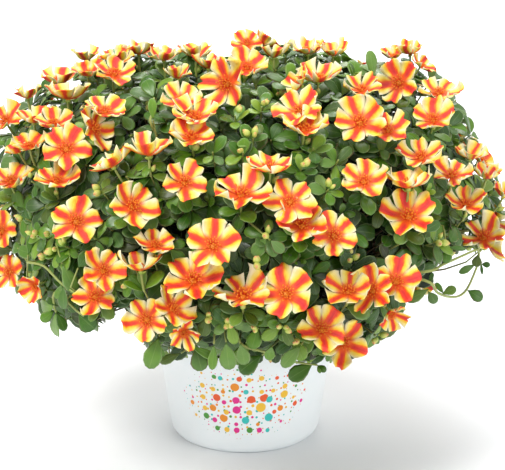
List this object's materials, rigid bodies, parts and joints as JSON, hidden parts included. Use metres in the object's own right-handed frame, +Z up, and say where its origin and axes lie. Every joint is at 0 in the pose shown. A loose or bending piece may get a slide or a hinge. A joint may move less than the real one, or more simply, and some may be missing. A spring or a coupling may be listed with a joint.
{
  "type": "potted portulaca",
  "caption": "Trailing succulent in full flower in a plain tapered pot: a rounded mound of small fleshy leaves under open five-petalled blooms, for a balcony, bed edge or windowsill",
  "frame": {"origin": "centre of the flat underside of the pot, on the surface that it stands on", "axes": "+Z up along the pot's axis, -Y towards the side that the picture shows, +X to the right as seen from there"},
  "size_m": [0.4674, 0.4656, 0.3616],
  "materials": {
    "blooms_01": "thin yellow petals with red middles",
    "blooms_02": "thin yellow petals with red middles",
    "blooms_03": "thin yellow petals with red middles",
    "blooms_04": "thin yellow petals with red middles",
    "blooms_05": "thin yellow petals with red middles",
    "blooms_06": "thin yellow petals with red middles",
    "blooms_07": "thin yellow petals with red middles",
    "blooms_08": "thin yellow petals with red middles",
    "blooms_09": "thin yellow petals with red middles",
    "blooms_10": "thin yellow petals with red middles",
    "blooms_11": "thin yellow petals with red middles",
    "blooms_12": "thin yellow petals with red middles",
    "blooms_13": "thin yellow petals with red middles",
    "blooms_14": "thin yellow petals with red middles",
    "blooms_15": "thin yellow petals with red middles",
    "blooms_16": "thin yellow petals with red middles",
    "blooms_17": "thin yellow petals with red middles",
    "blooms_18": "thin yellow petals with red middles",
    "blooms_19": "thin yellow petals with red middles",
    "blooms_20": "thin yellow petals with red middles",
    "blooms_21": "thin yellow petals with red middles",
    "blooms_22": "thin yellow petals with red middles",
    "blooms_23": "thin yellow petals with red middles",
    "blooms_24": "thin yellow petals with red middles",
    "blooms_25": "thin yellow petals with red middles",
    "blooms_26": "thin yellow petals with red middles",
    "blooms_27": "thin yellow petals with red middles",
    "blooms_28": "thin yellow petals with red middles",
    "blooms_29": "thin yellow petals with red middles",
    "blooms_30": "thin yellow petals with red middles",
    "blooms_31": "thin yellow petals with red middles",
    "blooms_32": "thin yellow petals with red middles",
    "blooms_33": "thin yellow petals with red middles",
    "blooms_34": "thin yellow petals with red middles",
    "blooms_35": "thin yellow petals with red middles",
    "blooms_36": "thin yellow petals with red middles",
    "blooms_37": "thin yellow petals with red middles",
    "blooms_38": "thin yellow petals with red middles",
    "blooms_39": "thin yellow petals with red middles",
    "blooms_40": "thin yellow petals with red middles",
    "blooms_41": "thin yellow petals with red middles",
    "blooms_42": "thin yellow petals with red middles",
    "leafy_stem_01": "fleshy green leaves",
    "leafy_stem_02": "fleshy green leaves",
    "leafy_stem_03": "fleshy green leaves",
    "leafy_stem_04": "fleshy green leaves",
    "leafy_stem_05": "fleshy green leaves",
    "leafy_stem_06": "fleshy green leaves",
    "leafy_stem_07": "fleshy green leaves",
    "leafy_stem_08": "fleshy green leaves",
    "leafy_stem_09": "fleshy green leaves",
    "leafy_stem_10": "fleshy green leaves",
    "leafy_stem_11": "fleshy green leaves",
    "leafy_stem_12": "fleshy green leaves",
    "leafy_stem_13": "fleshy green leaves",
    "leafy_stem_14": "fleshy green leaves",
    "leafy_stem_15": "fleshy green leaves",
    "pot": "satin white",
    "soil": "rough dark peat"
  },
  "bodies": {
    "root": {"blooms_01": "blooms_01", "blooms_02": "blooms_02", "blooms_03": "blooms_03", "blooms_04": "blooms_04", "blooms_05": "blooms_05", "blooms_06": "blooms_06", "blooms_07": "blooms_07", "blooms_08": "blooms_08", "blooms_09": "blooms_09", "blooms_10": "blooms_10", "blooms_11": "blooms_11", "blooms_12": "blooms_12", "blooms_13": "blooms_13", "blooms_14": "blooms_14", "blooms_15": "blooms_15", "blooms_16": "blooms_16", "blooms_17": "blooms_17", "blooms_18": "blooms_18", "blooms_19": "blooms_19", "blooms_20": "blooms_20", "blooms_21": "blooms_21", "blooms_22": "blooms_22", "blooms_23": "blooms_23", "blooms_24": "blooms_24", "blooms_25": "blooms_25", "blooms_26": "blooms_26", "blooms_27": "blooms_27", "blooms_28": "blooms_28", "blooms_29": "blooms_29", "blooms_30": "blooms_30", "blooms_31": "blooms_31", "blooms_32": "blooms_32", "blooms_33": "blooms_33", "blooms_34": "blooms_34", "blooms_35": "blooms_35", "blooms_36": "blooms_36", "blooms_37": "blooms_37", "blooms_38": "blooms_38", "blooms_39": "blooms_39", "blooms_40": "blooms_40", "blooms_41": "blooms_41", "blooms_42": "blooms_42", "leafy_stem_01": "leafy_stem_01", "leafy_stem_02": "leafy_stem_02", "leafy_stem_03": "leafy_stem_03", "leafy_stem_04": "leafy_stem_04", "leafy_stem_05": "leafy_stem_05", "leafy_stem_06": "leafy_stem_06", "leafy_stem_07": "leafy_stem_07", "leafy_stem_08": "leafy_stem_08", "leafy_stem_09": "leafy_stem_09", "leafy_stem_10": "leafy_stem_10", "leafy_stem_11": "leafy_stem_11", "leafy_stem_12": "leafy_stem_12", "leafy_stem_13": "leafy_stem_13", "leafy_stem_14": "leafy_stem_14", "leafy_stem_15": "leafy_stem_15", "pot": "pot", "soil": "soil"}
  },
  "joints": []
}
